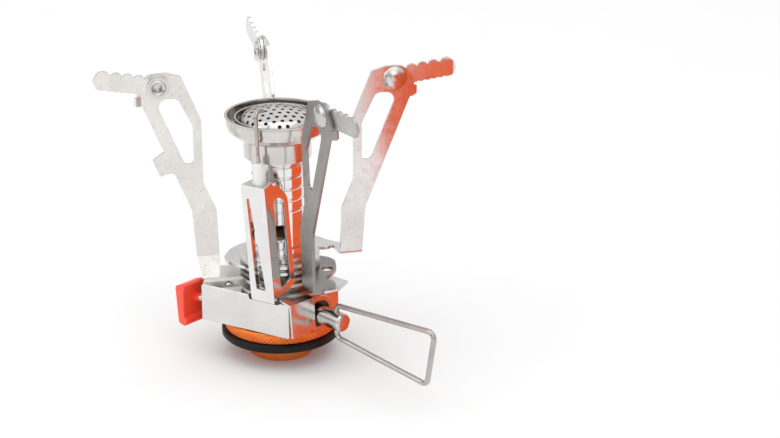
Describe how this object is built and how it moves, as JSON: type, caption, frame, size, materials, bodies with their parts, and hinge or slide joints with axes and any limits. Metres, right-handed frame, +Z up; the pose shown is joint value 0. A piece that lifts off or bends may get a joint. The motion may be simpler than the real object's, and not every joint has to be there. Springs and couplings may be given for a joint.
{
  "type": "canister stove",
  "caption": "Compact folding canister stove: knurled orange collar, valve with wire handle, piezo igniter box, grooved burner tube with perforated dome, and folding toothed pot arms.",
  "frame": {"origin": "centre of the canister socket's mouth, on the lowest face of the collar", "axes": "+Z up along the burner column; +X out along the valve spindle, which carries the wire handle"},
  "size_m": [0.1183, 0.094, 0.0968],
  "materials": {
    "orange_aluminium": "anodised orange, satin, knurled rim",
    "black_rubber": "matte",
    "brass": "turned",
    "sintered_bronze": "sintered",
    "valve_aluminium": "turned, natural",
    "spindle_steel": "turned",
    "handle_steel": "drawn wire",
    "sheet_steel": "polished stainless sheet",
    "arm_steel": "stamped stainless, fine grain",
    "rivet_steel": "burnished head",
    "washer_steel": "satin",
    "igniter_plastic": "moulded",
    "red_plastic": "moulded, slightly glossy",
    "ceramic": "glazed white ceramic",
    "spring_steel": "drawn wire",
    "lead_jacket": "pale silicone jacket",
    "chromed_tube": "polished, grooved",
    "burner_steel": "spun stainless",
    "dome_steel": "perforated",
    "gauze": "woven wire"
  },
  "bodies": {
    "stove_base": {"collar": "orange_aluminium", "collar_rubber_ring": "black_rubber", "canister_seal": "black_rubber", "depressor_pin": "brass", "inlet_filter": "sintered_bronze", "valve_body": "valve_aluminium", "gas_jet": "brass", "gland_nut": "brass", "igniter_bracket": "sheet_steel", "lower_washer": "washer_steel", "spacer_low": "washer_steel", "spacer_middle": "washer_steel", "spacer_high": "washer_steel", "retaining_ring": "valve_aluminium", "burner_tube": "chromed_tube", "burner_cup": "burner_steel", "burner_inner_ring": "burner_steel", "burner_dome": "dome_steel", "burner_gauze": "gauze", "electrode_channel": "sheet_steel", "ceramic_insulator": "ceramic", "electrode_rod": "spring_steel", "ignition_lead": "lead_jacket", "igniter_housing": "igniter_plastic", "igniter_anvil": "brass", "piezo_crystal": "ceramic", "hammer_spring": "spring_steel", "return_spring": "spring_steel"},
    "spindle_travel": {"spindle_o_ring": "black_rubber"},
    "spindle": {"valve_spindle": "spindle_steel"},
    "handle": {"handle_wire": "handle_steel"},
    "button": {"igniter_button": "red_plastic", "igniter_plunger": "spindle_steel"},
    "hammer": {"igniter_hammer": "spindle_steel"},
    "left_arm": {"arm_left": "arm_steel", "rivet_left": "rivet_steel", "washer_left": "washer_steel"},
    "left_tip": {"tip_left": "arm_steel"},
    "front_arm": {"arm_front": "arm_steel", "rivet_front": "rivet_steel", "washer_front": "washer_steel"},
    "front_tip": {"tip_front": "arm_steel"},
    "back_arm": {"arm_back": "arm_steel", "rivet_back": "rivet_steel", "washer_back": "washer_steel"},
    "back_tip": {"tip_back": "arm_steel"},
    "right_arm": {"arm_right": "arm_steel", "rivet_right": "rivet_steel", "washer_right": "washer_steel"},
    "right_tip": {"tip_right": "arm_steel"}
  },
  "joints": [
    {"name": "valve_slide", "type": "slide", "parent": "stove_base", "child": "spindle_travel", "axis": [1, 0, 0], "range_m": [0, 0.0015]},
    {"name": "valve_turn", "type": "hinge", "parent": "spindle_travel", "child": "spindle", "pos_m": [0, 0, 0.018], "axis": [1, 0, 0], "range_deg": [0, 720]},
    {"name": "handle_fold", "type": "hinge", "parent": "spindle", "child": "handle", "pos_m": [0.0264, 0, 0.018], "axis": [0, 0, 1], "range_deg": [-95, 95]},
    {"name": "igniter_press", "type": "slide", "parent": "stove_base", "child": "button", "axis": [0.9613, 0.2756, 0], "range_m": [0, 0.0024], "stiffness_N_per_m": 2500, "springref_m": -0.002, "deforming": ["return_spring", "hammer_spring"]},
    {"name": "hammer_strike", "type": "slide", "parent": "stove_base", "child": "hammer", "axis": [0.9613, 0.2756, 0], "range_m": [0, 0.00312]},
    {"name": "right_arm_swing", "type": "hinge", "parent": "stove_base", "child": "right_arm", "pos_m": [0, 0, 0], "axis": [0, 0, 1], "range_deg": [0, 42]},
    {"name": "back_arm_swing", "type": "hinge", "parent": "stove_base", "child": "back_arm", "pos_m": [0, 0, 0], "axis": [0, 0, 1], "range_deg": [-18, 0]},
    {"name": "front_arm_swing", "type": "hinge", "parent": "right_arm", "child": "front_arm", "pos_m": [0, 0, 0], "axis": [0, 0, 1], "range_deg": [0, 58]},
    {"name": "left_arm_swing", "type": "hinge", "parent": "back_arm", "child": "left_arm", "pos_m": [0, 0, 0], "axis": [0, 0, 1], "range_deg": [-56, 0]},
    {"name": "right_tip_fold", "type": "hinge", "parent": "right_arm", "child": "right_tip", "pos_m": [0.01929, 0.03122, 0.0905], "axis": [0.8508, -0.5255, 0], "range_deg": [0, 235]},
    {"name": "back_tip_fold", "type": "hinge", "parent": "back_arm", "child": "back_tip", "pos_m": [-0.0321, 0.01779, 0.0905], "axis": [0.4848, 0.8746, 0], "range_deg": [0, 235]},
    {"name": "front_tip_fold", "type": "hinge", "parent": "front_arm", "child": "front_tip", "pos_m": [0.0346, -0.01288, 0.0905], "axis": [-0.2451, -0.9686, -0.0419], "range_deg": [0, 235]},
    {"name": "left_tip_fold", "type": "hinge", "parent": "left_arm", "child": "left_tip", "pos_m": [-0.01901, -0.03139, 0.0905], "axis": [-0.8554, 0.518, 0], "range_deg": [0, 235]}
  ],
  "couplings": [
    {"joint": "valve_slide", "follows": "valve_turn", "m_per_rad": 0.00011937},
    {"joint": "hammer_strike", "follows": "igniter_press", "ratio": 1.3}
  ]
}
